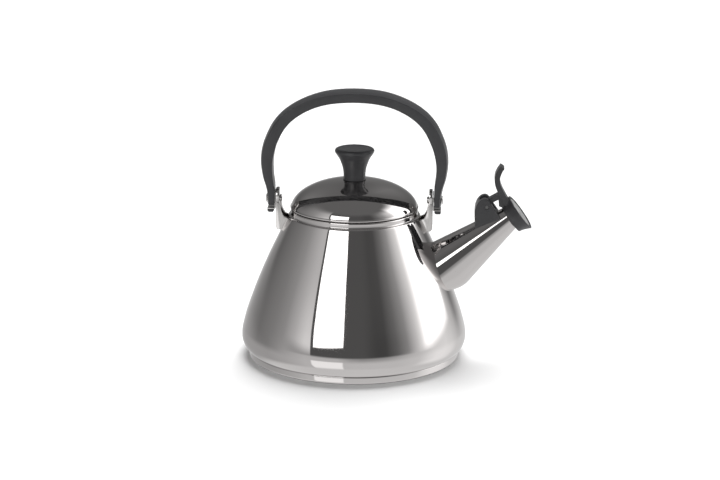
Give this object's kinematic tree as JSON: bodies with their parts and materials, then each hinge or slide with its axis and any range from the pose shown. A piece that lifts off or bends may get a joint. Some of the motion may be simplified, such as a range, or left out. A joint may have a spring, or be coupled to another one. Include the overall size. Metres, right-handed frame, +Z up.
{
  "type": "stovetop whistling kettle",
  "caption": "Conical polished steel stovetop kettle with a folding bail handle, a lift-off domed lid with knob, and a spout closed by a sprung whistle cap with thumb lever.",
  "frame": {"origin": "centre of the base's flat underside, on the surface the kettle stands on", "axes": "+X from the body's axis towards the spout, +Y across the kettle along the handle's folding direction, +Z up through the lid knob"},
  "size_m": [0.2524, 0.1966, 0.2359],
  "materials": {
    "polished_steel": "mirror-polished stainless steel",
    "brushed_base": "fine-turned stainless steel base",
    "satin_steel": "satin stainless steel",
    "base_aluminium": "plain aluminium heat spreader",
    "insert_brass": "plain turned brass",
    "black_phenolic": "satin black moulded phenolic",
    "seal_silicone": "grey silicone"
  },
  "bodies": {
    "kettle_body": {"body_shell": "polished_steel", "base_cap": "brushed_base", "base_core": "base_aluminium", "spout_tube": "polished_steel", "handle_bracket_spout_side": "satin_steel", "handle_bracket_back_side": "satin_steel", "pivot_rivet_spout_side": "satin_steel", "pivot_rivet_back_side": "satin_steel", "whistle_housing": "black_phenolic", "housing_lug": "satin_steel", "whistle_pin": "satin_steel", "whistle_spring": "satin_steel"},
    "handle": {"handle_grip": "black_phenolic", "handle_end_strap_spout_side": "satin_steel", "handle_end_strap_back_side": "satin_steel", "strap_pad_spout_side": "black_phenolic", "strap_pad_back_side": "black_phenolic"},
    "lid": {"lid_dome": "polished_steel", "lid_skirt": "satin_steel", "lid_knob": "black_phenolic", "knob_insert": "insert_brass", "knob_screw": "satin_steel", "knob_washer": "satin_steel"},
    "whistle": {"whistle_cap": "black_phenolic", "whistle_disc_front": "satin_steel", "whistle_disc_back": "satin_steel", "whistle_seal": "seal_silicone"}
  },
  "joints": [
    {"name": "handle_fold", "type": "hinge", "parent": "kettle_body", "child": "handle", "pos_m": [0, 0, 0.1394], "axis": [1, 0, 0], "range_deg": [-100, 100]},
    {"name": "lid_lift", "type": "slide", "parent": "kettle_body", "child": "lid", "axis": [0, 0, 1], "range_m": [0, 0.034]},
    {"name": "whistle_open", "type": "hinge", "parent": "kettle_body", "child": "whistle", "pos_m": [0.1148, 0, 0.1359], "axis": [0, -1, 0], "range_deg": [0, 45], "stiffness_Nm_per_rad": 0.05, "springref_deg": -22.92}
  ]
}
